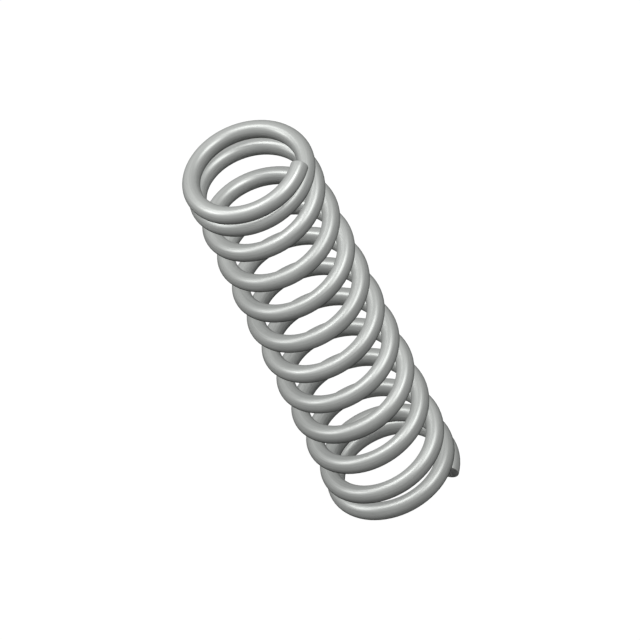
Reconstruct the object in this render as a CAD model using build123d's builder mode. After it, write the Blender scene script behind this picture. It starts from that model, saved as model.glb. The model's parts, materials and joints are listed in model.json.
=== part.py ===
from build123d import *
import math
import os

# Small compression spring of round wire, wound right-handed, with closed and unground ends.
# Millimetres, +Z up. The coil's axis is the Z axis, and the spring stands on the XY plane.
# Both cut ends of the wire lie on the +X side, one above the other.

# Driving dimensions
outside_diameter = 12.0
wire_diameter = 1.6
free_length = 45.0
closed_turns = 1.0  # at each end, turn laid against turn
ramp_turns = 1.0  # at each end, where the pitch opens evenly from closed to full
full_turns = 8.0  # in the middle, at the full pitch
closed_gap = 0.02  # left between closed turns, which touch but don't fuse
ramp_points_per_turn = 24

# Sizes that follow
wire_radius = wire_diameter / 2
mean_radius = outside_diameter / 2 - wire_radius
closed_pitch = wire_diameter + closed_gap

# The cut face at each end leans by the lead angle, so it reaches a little less than a wire radius
closed_lead = math.atan2(closed_pitch, 2 * math.pi * mean_radius)
end_height = wire_radius * math.cos(closed_lead)

# The wire rises from one end's centre to the other's, and an even ramp gains its mean pitch each turn
rise = free_length - 2 * end_height
closed_rise = closed_pitch * closed_turns
full_pitch = (rise - 2 * closed_rise - closed_pitch * ramp_turns) / (full_turns + ramp_turns)
ramp_rise = (closed_pitch + full_pitch) / 2 * ramp_turns
full_rise = full_pitch * full_turns


def helix_run(first_turn, first_height, pitch, turns):
    """A stretch of centreline at one pitch, from a turn count and a height up."""
    run = Helix(
        pitch=pitch,
        height=pitch * turns,
        radius=mean_radius,
        center=(0, 0, first_height),
        mode=Mode.PRIVATE,
    )
    return run.rotate(Axis.Z, 360 * first_turn)


def direction(turn, pitch):
    """The centreline's unit direction at a turn count, where it has this pitch."""
    angle = 2 * math.pi * turn
    round_trip = 2 * math.pi * mean_radius
    return Vector(-round_trip * math.sin(angle), round_trip * math.cos(angle), pitch).normalized()


def ramp_run(first_turn, first_height, first_pitch, last_pitch):
    """A stretch of centreline whose pitch changes evenly from the first to the last."""
    steps = math.ceil(ramp_points_per_turn * ramp_turns)
    points = []
    for step in range(steps + 1):
        share = step / steps
        turns = ramp_turns * share
        mean_pitch = first_pitch + (last_pitch - first_pitch) * share / 2
        angle = 2 * math.pi * (first_turn + turns)
        height = first_height + mean_pitch * turns
        points.append((mean_radius * math.cos(angle), mean_radius * math.sin(angle), height))
    ends = (direction(first_turn, first_pitch), direction(first_turn + ramp_turns, last_pitch))
    return Spline(*points, tangents=ends, tangent_scalars=(1.0, 1.0), mode=Mode.PRIVATE)


# Centreline of the wire, from the lower cut end to the upper one
lower_ramp_turn = closed_turns
full_turn = lower_ramp_turn + ramp_turns
upper_ramp_turn = full_turn + full_turns
upper_closed_turn = upper_ramp_turn + ramp_turns

lower_ramp_height = end_height + closed_rise
full_height = lower_ramp_height + ramp_rise
upper_ramp_height = full_height + full_rise
upper_closed_height = upper_ramp_height + ramp_rise

with BuildLine() as centreline:
    add(helix_run(0, end_height, closed_pitch, closed_turns))
    add(ramp_run(lower_ramp_turn, lower_ramp_height, closed_pitch, full_pitch))
    add(helix_run(full_turn, full_height, full_pitch, full_turns))
    add(ramp_run(upper_ramp_turn, upper_ramp_height, full_pitch, closed_pitch))
    add(helix_run(upper_closed_turn, upper_closed_height, closed_pitch, closed_turns))

# The wire is cut square at both ends, so its section stands across the centreline
lower_cut = Plane(
    origin=(mean_radius, 0, end_height),
    x_dir=(1, 0, 0),
    z_dir=direction(0, closed_pitch),
)

with BuildPart() as compression_spring:
    with BuildSketch(lower_cut):
        Circle(wire_radius)
    sweep(path=centreline.wires()[0], is_frenet=True)

compression_spring.part.label = "compression_spring"
os.makedirs("parts", exist_ok=True)
export_step(compression_spring.part, "parts/compression_spring.step")
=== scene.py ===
"""The looks of a small compression spring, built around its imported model.

The wire is modelled straight, as it comes off the reel: drawn round, sheared off
at both ends, with the sheared rims rolled over. It is then coiled along the
spring's own centreline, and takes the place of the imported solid. Lengths are in
metres, +Z is up, the coil's axis is the Z axis and the spring stands on the floor.
"""

import json
import logging
import math
from collections.abc import Callable
from dataclasses import dataclass
from enum import Enum
from typing import ClassVar

import bmesh
import bpy
from mathutils import Matrix, Vector


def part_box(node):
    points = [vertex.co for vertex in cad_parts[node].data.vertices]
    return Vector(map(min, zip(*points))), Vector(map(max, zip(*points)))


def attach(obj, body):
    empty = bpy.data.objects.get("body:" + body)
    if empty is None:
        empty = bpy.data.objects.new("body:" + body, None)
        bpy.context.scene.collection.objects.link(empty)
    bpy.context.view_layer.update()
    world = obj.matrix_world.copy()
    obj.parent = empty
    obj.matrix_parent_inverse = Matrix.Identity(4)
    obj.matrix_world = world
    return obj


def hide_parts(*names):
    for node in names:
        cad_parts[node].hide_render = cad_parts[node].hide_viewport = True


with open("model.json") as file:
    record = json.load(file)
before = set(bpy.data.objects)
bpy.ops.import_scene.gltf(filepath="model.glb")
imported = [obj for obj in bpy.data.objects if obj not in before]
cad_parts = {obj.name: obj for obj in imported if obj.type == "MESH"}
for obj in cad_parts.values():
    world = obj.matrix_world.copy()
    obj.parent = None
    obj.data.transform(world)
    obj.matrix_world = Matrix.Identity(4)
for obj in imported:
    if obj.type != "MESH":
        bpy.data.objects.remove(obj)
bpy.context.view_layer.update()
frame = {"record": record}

MM = 0.001
NODE = "compression_spring"
WIRE_PLACE = "wire_place"

Colour = tuple[float, float, float, float]
Span = tuple[float, float]

BLACK: Colour = (0.0, 0.0, 0.0, 1.0)
WHITE: Colour = (1.0, 1.0, 1.0, 1.0)

log = logging.getLogger("spring")


class Ray(Enum):
    """The Light Path outputs that the floor and the background show white to."""

    CAMERA = "Is Camera Ray"
    GLOSSY = "Is Glossy Ray"
    TRANSMISSION = "Is Transmission Ray"


def packed_mount(name: str) -> dict:
    """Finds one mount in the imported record.

    Args:
        name: The mount's name.

    Returns:
        The mount as the record states it.
    """
    return next(m for m in frame["record"]["mounts"] if m["name"] == name)


def deselect_all() -> None:
    """Leaves nothing selected, so that the next operator acts on its own object only."""
    bpy.ops.object.select_all(action="DESELECT")


def make_active(piece: bpy.types.Object) -> None:
    """Selects one object alone and makes it the active one.

    Args:
        piece: The object to work on.
    """
    deselect_all()
    piece.select_set(True)
    bpy.context.view_layer.objects.active = piece


def towards(azimuth: float, elevation: float) -> Vector:
    """Points from the spring to something that stands round it.

    Args:
        azimuth: Degrees round the Z axis from the front, which is -Y, towards +X.
        elevation: Degrees above the floor.

    Returns:
        The direction, one unit long.
    """
    around, above = math.radians(azimuth), math.radians(elevation)
    level = math.cos(above)
    return Vector((math.sin(around) * level, -math.cos(around) * level, math.sin(above)))


class NodeSheet:
    """A node tree with short ways to add nodes and to join them."""

    def __init__(self, tree: bpy.types.NodeTree) -> None:
        """Takes over a node tree.

        Args:
            tree: The tree to add nodes to.
        """
        self.tree = tree

    @property
    def shader(self) -> bpy.types.Node:
        """The surface shader that a new material comes with."""
        return self.tree.nodes["Principled BSDF"]

    def add(self, kind: str, **settings: object) -> bpy.types.Node:
        """Adds a node.

        Args:
            kind: The node's Blender type.
            **settings: Properties to set on it.

        Returns:
            The new node.
        """
        node = self.tree.nodes.new(kind)
        for name, value in settings.items():
            setattr(node, name, value)
        return node

    def join(self, output: bpy.types.NodeSocket, target: bpy.types.NodeSocket) -> None:
        """Links an output to an input.

        Args:
            output: The socket to link from.
            target: The socket to link to.
        """
        self.tree.links.new(output, target)

    def feed(self, target: bpy.types.NodeSocket, value: object) -> None:
        """Links a socket to an input, or sets the input to a plain value.

        Args:
            target: The input.
            value: An output socket, a number or a tuple.
        """
        if isinstance(value, bpy.types.NodeSocket):
            self.join(value, target)
        else:
            target.default_value = value

    def maths(
        self, operation: str, first: object, second: object, clamp: bool = False
    ) -> bpy.types.NodeSocket:
        """Adds a Math node.

        Args:
            operation: The node's operation.
            first: Its first input, a socket or a number.
            second: Its second input, a socket or a number.
            clamp: Whether the result is kept between 0 and 1.

        Returns:
            The node's output.
        """
        node = self.add("ShaderNodeMath", operation=operation, use_clamp=clamp)
        self.feed(node.inputs[0], first)
        self.feed(node.inputs[1], second)
        return node.outputs[0]

    def times(self, vector: bpy.types.NodeSocket, factors: object) -> bpy.types.NodeSocket:
        """Multiplies a vector, axis by axis.

        Args:
            vector: The vector's socket.
            factors: A vector socket, or three numbers.

        Returns:
            The multiplied vector.
        """
        node = self.add("ShaderNodeVectorMath", operation="MULTIPLY")
        self.join(vector, node.inputs[0])
        self.feed(node.inputs[1], factors)
        return node.outputs[0]

    def span(
        self, value: bpy.types.NodeSocket, source: Span, result: Span = (0.0, 1.0)
    ) -> bpy.types.NodeSocket:
        """Maps a value smoothly from one range to another.

        Args:
            value: The socket to map.
            source: Where the value's own range starts and ends.
            result: What that start and that end become.

        Returns:
            The mapped output.
        """
        node = self.add("ShaderNodeMapRange", interpolation_type="SMOOTHSTEP")
        for target, given in zip(node.inputs, (value, *source, *result)):
            self.feed(target, given)
        return node.outputs[0]

    def blend_colours(
        self, share: bpy.types.NodeSocket, first: object, second: object
    ) -> bpy.types.NodeSocket:
        """Mixes two colours.

        Args:
            share: How much of the second colour shows.
            first: The first colour, as a socket or four numbers.
            second: The second colour, as a socket or four numbers.

        Returns:
            The mixed colour.
        """
        node = self.add("ShaderNodeMix", data_type="RGBA")
        self.feed(node.inputs["Factor"], share)
        colours = [s for s in node.inputs if s.type == "RGBA"]
        self.feed(colours[0], first)
        self.feed(colours[1], second)
        return next(s for s in node.outputs if s.type == "RGBA")


def new_paint(name: str) -> tuple[bpy.types.Material, NodeSheet]:
    """Starts a material that is made of nodes.

    Args:
        name: The material's name.

    Returns:
        The material, and the sheet of its nodes.
    """
    paint = bpy.data.materials.new(name)
    paint.use_nodes = True
    return paint, NodeSheet(paint.node_tree)


def wire_place_socket(sheet: NodeSheet) -> bpy.types.NodeSocket:
    """Reads the wire's place before coiling, which the wire's mesh carries.

    Args:
        sheet: The material's nodes.

    Returns:
        The place, as a vector in metres with X along the wire.
    """
    return sheet.add("ShaderNodeAttribute", attribute_name=WIRE_PLACE).outputs["Vector"]


@dataclass(frozen=True)
class Grain:
    """A pattern of fine lines on the wire, placed in a material from a shared node group.

    The two counts are the pattern's cells per metre along the wire and across it, and
    the share is how much of a finish's tone the pattern makes up.
    """

    along: float
    across: float
    share: float = 1.0

    GROUP: ClassVar[str] = "drawn grain"
    DETAIL: ClassVar[float] = 3.0
    ROUGHNESS: ClassVar[float] = 0.6

    @classmethod
    def group(cls) -> bpy.types.ShaderNodeTree:
        """Builds the group once.

        Returns:
            The node group, with Place, Along and Across going in and Lines coming out.
        """
        known = bpy.data.node_groups.get(cls.GROUP)
        if known:
            return known
        tree = bpy.data.node_groups.new(cls.GROUP, "ShaderNodeTree")
        tree.interface.new_socket(name="Place", in_out="INPUT", socket_type="NodeSocketVector")
        tree.interface.new_socket(name="Along", in_out="INPUT", socket_type="NodeSocketFloat")
        tree.interface.new_socket(name="Across", in_out="INPUT", socket_type="NodeSocketFloat")
        tree.interface.new_socket(name="Lines", in_out="OUTPUT", socket_type="NodeSocketFloat")
        sheet = NodeSheet(tree)
        start = sheet.add("NodeGroupInput")
        end = sheet.add("NodeGroupOutput")
        scales = sheet.add("ShaderNodeCombineXYZ")
        sheet.join(start.outputs["Along"], scales.inputs["X"])
        sheet.join(start.outputs["Across"], scales.inputs["Y"])
        sheet.join(start.outputs["Across"], scales.inputs["Z"])
        noise = sheet.add("ShaderNodeTexNoise")
        noise.inputs["Scale"].default_value = 1.0
        noise.inputs["Detail"].default_value = cls.DETAIL
        noise.inputs["Roughness"].default_value = cls.ROUGHNESS
        sheet.join(sheet.times(start.outputs["Place"], scales.outputs[0]), noise.inputs["Vector"])
        sheet.join(noise.outputs[0], end.inputs["Lines"])
        return tree

    def lines(self, sheet: NodeSheet, place: bpy.types.NodeSocket) -> bpy.types.NodeSocket:
        """Puts the pattern into a material.

        Args:
            sheet: The material's nodes.
            place: The socket with the wire's place before coiling.

        Returns:
            The lines, from 0 to 1.
        """
        node = sheet.add("ShaderNodeGroup", node_tree=self.group())
        sheet.join(place, node.inputs["Place"])
        node.inputs["Along"].default_value = self.along
        node.inputs["Across"].default_value = self.across
        return node.outputs["Lines"]


@dataclass(frozen=True)
class SteelFinish:
    """What the wire's finishes share: a satin steel that doesn't brighten at its edges."""

    name: str
    dark: Colour
    light: Colour
    tone_span: Span
    rough_span: Span
    roughness: Span
    line_height: float
    line_strength: float
    metallic: float = 0.35
    specular_level: float = 0.0
    edge_tint: Colour = BLACK

    def start(self) -> tuple[bpy.types.Material, NodeSheet]:
        """Starts the finish with the values that are the same all over.

        Returns:
            The material, and the sheet of its nodes.
        """
        steel, sheet = new_paint(self.name)
        sheet.shader.inputs["Metallic"].default_value = self.metallic
        sheet.shader.inputs["Specular Tint"].default_value = self.edge_tint
        sheet.shader.inputs["Specular IOR Level"].default_value = self.specular_level
        return steel, sheet

    def colour(self, sheet: NodeSheet, tone: bpy.types.NodeSocket) -> bpy.types.NodeSocket:
        """Turns a pattern into the steel's lighter and darker lines.

        Args:
            sheet: The material's nodes.
            tone: The pattern, from 0 to 1.

        Returns:
            The colour.
        """
        return sheet.blend_colours(sheet.span(tone, self.tone_span), self.dark, self.light)

    def rough(self, sheet: NodeSheet, tone: bpy.types.NodeSocket) -> bpy.types.NodeSocket:
        """Makes the lighter lines of a pattern smoother than the darker ones.

        Args:
            sheet: The material's nodes.
            tone: The pattern, from 0 to 1.

        Returns:
            The roughness.
        """
        smoothest, roughest = self.roughness
        return sheet.span(tone, self.rough_span, (roughest, smoothest))

    def raise_lines(self, sheet: NodeSheet, lines: bpy.types.NodeSocket) -> None:
        """Gives a pattern its height on the surface.

        Args:
            sheet: The material's nodes.
            lines: The pattern, from 0 to 1.
        """
        bump = sheet.add("ShaderNodeBump")
        bump.inputs["Strength"].default_value = self.line_strength
        bump.inputs["Distance"].default_value = self.line_height
        sheet.join(lines, bump.inputs["Height"])
        sheet.join(bump.outputs[0], sheet.shader.inputs["Normal"])


@dataclass(frozen=True)
class DrawnSteel(SteelFinish):
    """Spring steel as drawn: satin, with lines along the wire and a rubbed outer side.

    The rubbed band's two depths are shares of the wire's radius, measured inwards from
    the coil's outermost side: where the band starts and where it is full.
    """

    name: str = "drawn spring steel"
    dark: Colour = (0.203, 0.209, 0.203, 1.0)
    light: Colour = (0.26, 0.267, 0.26, 1.0)
    tone_span: Span = (0.32, 0.68)
    rough_span: Span = (0.3, 0.7)
    roughness: Span = (0.38, 0.41)
    line_height: float = 0.0004 * MM
    line_strength: float = 0.5
    fine: Grain = Grain(along=90.0, across=9000.0, share=0.4)
    broad: Grain = Grain(along=25.0, across=2200.0, share=0.35)
    slow: Grain = Grain(along=140.0, across=500.0, share=0.25)
    rubbed: Colour = (0.28, 0.288, 0.28, 1.0)
    rub_polish: float = 0.01
    rub_depths: Span = (0.14, 0.02)
    rub_most: float = 0.8
    rub_break: Span = (0.4, 0.62)
    rub_left: float = 0.15

    def material(self, mean_radius: float, wire_radius: float) -> bpy.types.Material:
        """Builds the finish.

        Args:
            mean_radius: From the coil's axis to the wire's centre.
            wire_radius: The wire's own radius.

        Returns:
            The material.
        """
        steel, sheet = self.start()
        place = wire_place_socket(sheet)
        slow = self.slow.lines(sheet, place)
        fine_part = sheet.maths("MULTIPLY", self.fine.lines(sheet, place), self.fine.share)
        broad_part = sheet.maths("MULTIPLY", self.broad.lines(sheet, place), self.broad.share)
        lines = sheet.maths("ADD", fine_part, broad_part)
        slow_part = sheet.maths("MULTIPLY", slow, self.slow.share)
        tone = sheet.maths("ADD", lines, slow_part, clamp=True)
        rub = self.rub_mask(sheet, mean_radius, wire_radius, slow)
        worn = sheet.blend_colours(rub, self.colour(sheet, tone), self.rubbed)
        sheet.join(worn, sheet.shader.inputs["Base Color"])
        polish = sheet.maths("MULTIPLY", rub, self.rub_polish)
        rough = sheet.maths("SUBTRACT", self.rough(sheet, tone), polish)
        sheet.join(rough, sheet.shader.inputs["Roughness"])
        self.raise_lines(sheet, lines)
        return steel

    def rub_mask(
        self, sheet: NodeSheet, mean_radius: float, wire_radius: float, slow: bpy.types.NodeSocket
    ) -> bpy.types.NodeSocket:
        """Finds the outermost side of the coil, where the coiling tools rubbed the wire.

        Args:
            sheet: The material's nodes.
            mean_radius: From the coil's axis to the wire's centre.
            wire_radius: The wire's own radius.
            slow: A slow pattern that breaks the rubbed band up.

        Returns:
            How rubbed the surface is, from 0 to 1.
        """
        here = sheet.add("ShaderNodeTexCoord").outputs["Object"]
        reach = sheet.add("ShaderNodeVectorMath", operation="LENGTH")
        sheet.join(sheet.times(here, (1.0, 1.0, 0.0)), reach.inputs[0])
        outermost = mean_radius + wire_radius
        starts, full = (outermost - depth * wire_radius for depth in self.rub_depths)
        band = sheet.span(reach.outputs["Value"], (starts, full), (0.0, self.rub_most))
        broken = sheet.span(slow, self.rub_break, (self.rub_left, 1.0))
        return sheet.maths("MULTIPLY", band, broken)


@dataclass(frozen=True)
class ShearedSteel(SteelFinish):
    """The same steel where the cutter sheared it: darker, with the cutter's lines across it.

    The cut face lies in Y and Z of the wire's place, and the stretch draws its lines out along Z.
    """

    name: str = "sheared spring steel"
    dark: Colour = (0.12, 0.122, 0.12, 1.0)
    light: Colour = (0.21, 0.214, 0.21, 1.0)
    tone_span: Span = (0.35, 0.65)
    rough_span: Span = (0.3, 0.7)
    roughness: Span = (0.3, 0.5)
    line_height: float = 0.01 * MM
    line_strength: float = 0.6
    stroke: Grain = Grain(along=1.0, across=9000.0)
    stroke_stretch: tuple[float, float, float] = (0.0, 1.0, 0.12)

    def material(self) -> bpy.types.Material:
        """Builds the finish.

        Returns:
            The material.
        """
        steel, sheet = self.start()
        place = sheet.times(wire_place_socket(sheet), self.stroke_stretch)
        lines = self.stroke.lines(sheet, place)
        sheet.join(self.colour(sheet, lines), sheet.shader.inputs["Base Color"])
        sheet.join(self.rough(sheet, lines), sheet.shader.inputs["Roughness"])
        self.raise_lines(sheet, lines)
        return steel


@dataclass
class Coil:
    """The spring's centreline: closed turns, ramps and full turns, from the foot up.

    The outer radius, the wire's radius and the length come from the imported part.
    """

    outer_radius: float
    wire_radius: float
    free_length: float
    closed_turns: float = 1.0
    ramp_turns: float = 1.0
    full_turns: float = 8.0
    closed_gap: float = 0.02 * MM
    points_per_turn: int = 180

    @classmethod
    def packed(cls) -> "Coil":
        """Takes the coil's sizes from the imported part.

        Returns:
            The coil.
        """
        low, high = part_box(NODE)
        outer_radius = (high.x - low.x) / 2
        inner_radius = packed_mount("guide_bore")["dims"]["r_mm"] * MM
        return cls(outer_radius, (outer_radius - inner_radius) / 2, high.z - low.z)

    @property
    def mean_radius(self) -> float:
        """From the coil's axis to the wire's centre."""
        return self.outer_radius - self.wire_radius

    @property
    def turns(self) -> float:
        """All the turns from one cut end to the other."""
        return 2 * (self.closed_turns + self.ramp_turns) + self.full_turns

    @property
    def closed_pitch(self) -> float:
        """The rise in a closed turn."""
        return 2 * self.wire_radius + self.closed_gap

    @property
    def end_height(self) -> float:
        """From the foot to the wire's centre at the cut end, whose face leans by the lead."""
        lead = math.atan2(self.closed_pitch, 2 * math.pi * self.mean_radius)
        return self.wire_radius * math.cos(lead)

    @property
    def rise(self) -> float:
        """From the wire's centre at one cut end to its centre at the other."""
        return self.free_length - 2 * self.end_height

    @property
    def full_pitch(self) -> float:
        """The rise in a full turn."""
        closed = (2 * self.closed_turns + self.ramp_turns) * self.closed_pitch
        return (self.rise - closed) / (self.full_turns + self.ramp_turns)

    def climb(self, turn: float) -> float:
        """How far the wire has risen from its lower cut end.

        Args:
            turn: Turns from the lower cut end.

        Returns:
            The rise, in metres.
        """
        if turn > self.turns / 2:
            return self.rise - self.climb(self.turns - turn)
        closed = min(turn, self.closed_turns)
        ramped = min(max(turn - self.closed_turns, 0.0), self.ramp_turns)
        full = max(turn - self.closed_turns - self.ramp_turns, 0.0)
        gained = (self.full_pitch - self.closed_pitch) * ramped**2 / (2 * self.ramp_turns)
        return self.closed_pitch * (closed + ramped) + gained + self.full_pitch * full

    def point(self, turn: float) -> Vector:
        """The centreline at a turn count.

        Args:
            turn: Turns from the lower cut end.

        Returns:
            The place, in metres.
        """
        angle = 2 * math.pi * turn
        height = self.end_height + self.climb(turn)
        return Vector((self.mean_radius * math.cos(angle), self.mean_radius * math.sin(angle), height))

    def points(self) -> list[Vector]:
        """Points along the whole centreline, evenly spaced by turn.

        Returns:
            The points, from the lower cut end up.
        """
        steps = math.ceil(self.turns * self.points_per_turn)
        return [self.point(self.turns * step / steps) for step in range(steps + 1)]

    def wire_length(self) -> float:
        """The length of wire in the spring, in metres."""
        points = self.points()
        return sum((b - a).length for a, b in zip(points, points[1:]))

    def centreline(self) -> bpy.types.Object:
        """Makes the curve that the straight wire is coiled along.

        Returns:
            The curve object.
        """
        path = bpy.data.curves.new("coil centreline", "CURVE")
        path.dimensions = "3D"
        path.twist_mode = "Z_UP"
        path.use_stretch = True
        path.use_deform_bounds = True
        points = self.points()
        spline = path.splines.new("POLY")
        spline.points.add(len(points) - 1)
        for target, place in zip(spline.points, points):
            target.co = (*place, 1.0)
        line = bpy.data.objects.new(path.name, path)
        bpy.context.scene.collection.objects.link(line)
        return line


@dataclass
class SpringWire:
    """The spring's one piece: a length of drawn wire, cut off and coiled.

    The two cut rims are rolled over by the rim's roll. The face inside each is dished:
    flat for two insets, then sunk by the dish's depth.
    """

    coil: Coil
    sides: int = 48
    rings_per_turn: int = 72
    rim_roll: float = 0.07 * MM
    rim_steps: int = 4
    rim_profile: float = 0.5
    dish_inset: float = 0.16 * MM
    dish_depth: float = 0.012 * MM
    end_tolerance: float = 0.01 * MM
    smooth_angle: float = 40.0

    def build(self, drawn: DrawnSteel, sheared: ShearedSteel) -> bpy.types.Object:
        """Makes the finished wire.

        Args:
            drawn: The finish of the wire's surface.
            sheared: The finish of its two cut ends.

        Returns:
            The coiled wire, riding on the part in its node's place.
        """
        wire = self.draw_straight()
        self.shape_cut_ends(wire)
        self.divide_lengthwise(wire)
        self.remember_place(wire)
        self.coil_up(wire)
        self.dress(wire, drawn, sheared)
        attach(wire, "root")
        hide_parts(NODE)
        return wire

    def draw_straight(self) -> bpy.types.Object:
        """Adds the straight wire along +X, from the origin.

        Returns:
            The wire, a plain round bar.
        """
        deselect_all()
        length = self.coil.wire_length()
        bpy.ops.mesh.primitive_cylinder_add(
            vertices=self.sides,
            radius=self.coil.wire_radius,
            depth=length,
            location=(length / 2, 0, 0),
            rotation=(0, math.pi / 2, 0),
        )
        wire = bpy.context.active_object
        wire.name = "coiled_wire"
        bpy.ops.object.transform_apply(location=True, rotation=True, scale=True)
        return wire

    def shape_cut_ends(self, wire: bpy.types.Object) -> None:
        """Rolls the rims of the two cut ends over and dishes the faces inside them.

        Args:
            wire: The straight wire.
        """
        make_active(wire)
        bpy.ops.object.mode_set(mode="EDIT")
        bpy.ops.mesh.select_mode(type="FACE")
        self.select_faces(wire, self.is_many_sided)
        bpy.ops.mesh.region_to_loop()
        bpy.ops.mesh.bevel(
            offset=self.rim_roll,
            segments=self.rim_steps,
            profile=self.rim_profile,
            affect="EDGES",
        )
        bpy.ops.mesh.select_mode(type="FACE")
        for end, inward in ((0.0, self.dish_depth), (self.coil.wire_length(), -self.dish_depth)):
            self.select_faces(wire, lambda face, end=end: self.is_cut_face(face, end))
            bpy.ops.mesh.inset(thickness=self.dish_inset)
            bpy.ops.mesh.inset(thickness=self.dish_inset)
            bpy.ops.transform.translate(value=(inward, 0, 0))
            bpy.ops.mesh.poke()
        bpy.ops.object.mode_set(mode="OBJECT")

    @staticmethod
    def is_many_sided(face: bmesh.types.BMFace) -> bool:
        """Whether a face has more sides than the four of the wire's long ones."""
        return len(face.verts) > 4

    def is_cut_face(self, face: bmesh.types.BMFace, end: float) -> bool:
        """Whether a face is the many-sided one at one end of the wire.

        Args:
            face: The face.
            end: Where that end is along X.

        Returns:
            True if it is.
        """
        off_end = abs(face.calc_center_median().x - end)
        return self.is_many_sided(face) and off_end < self.end_tolerance

    @staticmethod
    def select_faces(wire: bpy.types.Object, wanted: Callable[[bmesh.types.BMFace], bool]) -> None:
        """Selects the faces that pass a test, and nothing else. The wire is in edit mode.

        Args:
            wire: The wire.
            wanted: Says whether a face is wanted.
        """
        bpy.ops.mesh.select_all(action="DESELECT")
        mesh = bmesh.from_edit_mesh(wire.data)
        for face in mesh.faces:
            if wanted(face):
                face.select_set(True)
        mesh.select_flush_mode()
        bmesh.update_edit_mesh(wire.data)

    def divide_lengthwise(self, wire: bpy.types.Object) -> None:
        """Cuts the long sides into rings, so that the wire can bend.

        This takes two rounds, turns and then rings, because one makes 100 cuts at most.

        Args:
            wire: The straight wire.
        """
        make_active(wire)
        bpy.ops.object.mode_set(mode="EDIT")
        bpy.ops.mesh.select_mode(type="EDGE")
        for stretches in (math.ceil(self.coil.turns), self.rings_per_turn):
            bpy.ops.mesh.select_all(action="DESELECT")
            mesh = bmesh.from_edit_mesh(wire.data)
            for edge in mesh.edges:
                edge.select_set(edge.calc_length() > 2 * self.coil.outer_radius)
            bmesh.update_edit_mesh(wire.data)
            bpy.ops.mesh.subdivide(number_cuts=stretches - 1)
        bpy.ops.object.mode_set(mode="OBJECT")

    def remember_place(self, wire: bpy.types.Object) -> None:
        """Stores each point's place on the straight wire, which the finishes follow.

        Args:
            wire: The straight wire.
        """
        places = wire.data.attributes.new(WIRE_PLACE, "FLOAT_VECTOR", "POINT")
        for point, place in zip(wire.data.vertices, places.data):
            place.vector = point.co

    def coil_up(self, wire: bpy.types.Object) -> None:
        """Bends the straight wire along the coil's centreline.

        Args:
            wire: The straight wire.
        """
        line = self.coil.centreline()
        make_active(wire)
        coiling = wire.modifiers.new("coiling", "CURVE")
        coiling.object = line
        coiling.deform_axis = "POS_X"
        bpy.ops.object.modifier_apply(modifier=coiling.name)
        bpy.data.objects.remove(line)

    def dress(self, wire: bpy.types.Object, drawn: DrawnSteel, sheared: ShearedSteel) -> None:
        """Gives the wire its finishes and smooths its shading.

        Args:
            wire: The coiled wire.
            drawn: The finish of the wire's surface.
            sheared: The finish of its two cut ends.
        """
        wire.data.materials.clear()
        wire.data.materials.append(drawn.material(self.coil.mean_radius, self.coil.wire_radius))
        wire.data.materials.append(sheared.material())
        places = wire.data.attributes[WIRE_PLACE].data
        length = self.coil.wire_length()
        near_end = 2 * self.dish_depth
        for face in wire.data.polygons:
            along = [places[index].vector.x for index in face.vertices]
            is_cut = max(along) < near_end or min(along) > length - near_end
            face.material_index = int(is_cut)
        make_active(wire)
        bpy.ops.object.shade_smooth_by_angle(angle=math.radians(self.smooth_angle))


@dataclass
class PhotoCamera:
    """The camera at the photograph's viewing angle, with no perspective.

    Angles are in degrees. The top pixel is where the wire's upper end centre, moved onto
    the coil's axis, lies in the photograph's frame, counted from its top left corner.
    """

    coil: Coil
    azimuth: float = 32.9
    elevation: float = 46.1
    roll: float = 26.1
    frame_pixels: float = 640.0
    pixels_per_mm: float = 11.36
    top_pixel: tuple[float, float] = (244.8, 166.5)
    distance: float = 0.5
    clip_start: float = 0.01
    clip_end: float = 5.0

    def build(self) -> bpy.types.Object:
        """Makes the camera and gives it to the scene.

        Returns:
            The camera object.
        """
        back = towards(self.azimuth, self.elevation)
        roll = Matrix.Rotation(-math.radians(self.roll), 3, "Z").to_quaternion()
        turned = back.to_track_quat("Z", "Y") @ roll
        right, up = turned @ Vector((1, 0, 0)), turned @ Vector((0, 1, 0))
        scale = self.pixels_per_mm / MM
        across = (self.top_pixel[0] - self.frame_pixels / 2) / scale
        upward = (self.frame_pixels / 2 - self.top_pixel[1]) / scale
        top = Vector((0, 0, self.coil.free_length - self.coil.end_height))
        data = bpy.data.cameras.new("photo camera")
        data.type = "ORTHO"
        data.ortho_scale = self.frame_pixels / scale
        data.clip_start = self.clip_start
        data.clip_end = self.clip_end
        camera = bpy.data.objects.new(data.name, data)
        camera.rotation_mode = "QUATERNION"
        camera.rotation_quaternion = turned
        camera.location = top - right * across - up * upward + back * self.distance
        bpy.context.scene.collection.objects.link(camera)
        bpy.context.scene.camera = camera
        return camera


@dataclass(frozen=True)
class Lamp:
    """One soft lamp, placed round the spring by azimuth and elevation in degrees.

    A lamp without a shadow lights the wire behind the front turns as well. For that its
    multiple importance sampling is off, which would lose what the turns block.
    """

    name: str
    azimuth: float
    elevation: float
    power: float
    shadow: bool = False
    distance: float = 0.5
    size: float = 0.12

    def build(self, target: Vector) -> bpy.types.Object:
        """Makes the lamp, aimed at the spring.

        Args:
            target: Where the lamp points.

        Returns:
            The lamp object.
        """
        back = towards(self.azimuth, self.elevation)
        data = bpy.data.lights.new(self.name, "AREA")
        data.shape = "SQUARE"
        data.size = self.size
        data.energy = self.power
        data.use_shadow = self.shadow
        data.cycles.use_multiple_importance_sampling = False
        lamp = bpy.data.objects.new(self.name, data)
        lamp.location = target + back * self.distance
        lamp.rotation_mode = "QUATERNION"
        lamp.rotation_quaternion = back.to_track_quat("Z", "Y")
        bpy.context.scene.collection.objects.link(lamp)
        return lamp


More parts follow.
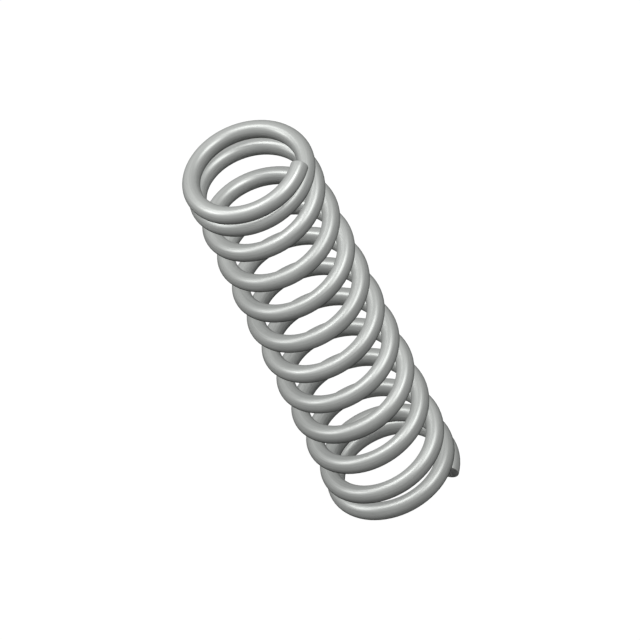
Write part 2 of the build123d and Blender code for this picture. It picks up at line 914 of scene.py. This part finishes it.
@dataclass
class Studio:
    """A plain pale floor, a white background and soft lamps.

    The floor and the background look white to the camera and in the steel's reflections,
    and give no other light, so neither is sampled as a lamp. Only the key lamp casts a
    shadow. The floor's lift is how white it is before the lamps light it.
    """

    target: Vector
    floor_size: float = 1.2
    floor_colour: Colour = (0.06, 0.06, 0.06, 1.0)
    floor_lift: float = 0.9
    floor_roughness: float = 1.0
    floor_gloss: float = 0.0
    lamps: tuple[Lamp, ...] = (
        Lamp("key softbox", azimuth=87.0, elevation=60.0, power=1.3, shadow=True),
        Lamp("right softbox", azimuth=120.0, elevation=60.0, power=1.35),
        Lamp("top softbox", azimuth=-97.0, elevation=81.0, power=1.8),
        Lamp("left softbox", azimuth=-76.0, elevation=47.0, power=1.4),
        Lamp("back softbox", azimuth=-108.0, elevation=61.0, power=0.65),
    )

    def build(self) -> None:
        """Makes the floor, the background and the lamps."""
        self.lay_floor()
        self.light_world()
        for lamp in self.lamps:
            lamp.build(self.target)

    def seen(self, sheet: NodeSheet) -> bpy.types.NodeSocket:
        """Says whether a ray comes from the camera or from a reflection.

        Args:
            sheet: The nodes of the material or world.

        Returns:
            1 where it does, otherwise 0.
        """
        path = sheet.add("ShaderNodeLightPath")
        first, *others = (path.outputs[ray.value] for ray in Ray)
        total = first
        for other in others:
            total = sheet.maths("MAXIMUM", total, other)
        return total

    def lay_floor(self) -> bpy.types.Object:
        """Makes the floor, which looks white and keeps the spring's shadow.

        Returns:
            The floor object.
        """
        deselect_all()
        bpy.ops.mesh.primitive_plane_add(size=self.floor_size)
        floor = bpy.context.active_object
        floor.name = "studio_floor"
        paint, sheet = new_paint("pale floor")
        sheet.shader.inputs["Base Color"].default_value = self.floor_colour
        sheet.shader.inputs["Roughness"].default_value = self.floor_roughness
        sheet.shader.inputs["Specular IOR Level"].default_value = self.floor_gloss
        sheet.shader.inputs["Emission Color"].default_value = WHITE
        lift = sheet.maths("MULTIPLY", self.seen(sheet), self.floor_lift)
        sheet.join(lift, sheet.shader.inputs["Emission Strength"])
        paint.cycles.emission_sampling = "NONE"
        floor.data.materials.append(paint)
        return floor

    def light_world(self) -> None:
        """Makes the world white to look at and in reflections, and dark otherwise."""
        world = bpy.data.worlds.new("studio surround")
        bpy.context.scene.world = world
        world.use_nodes = True
        world.cycles.sampling_method = "NONE"
        sheet = NodeSheet(world.node_tree)
        background = world.node_tree.nodes["Background"]
        background.inputs["Color"].default_value = WHITE
        sheet.join(self.seen(sheet), background.inputs["Strength"])


def main() -> None:
    """Builds the spring, the studio and the camera."""
    logging.basicConfig(level=logging.INFO, format="%(message)s")
    coil = Coil.packed()
    wire = SpringWire(coil).build(DrawnSteel(), ShearedSteel())
    log.info("%s: %.1f mm of wire, %d faces", wire.name, coil.wire_length() / MM, len(wire.data.polygons))
    Studio(Vector((0, 0, coil.free_length / 2))).build()
    log.info("studio: floor, background and lamps")
    camera = PhotoCamera(coil).build()
    log.info("%s: %.1f mm wide", camera.name, camera.data.ortho_scale / MM)
    bpy.context.scene.view_settings.view_transform = "Standard"
    bpy.context.view_layer.update()


if __name__ == "__main__":
    main()
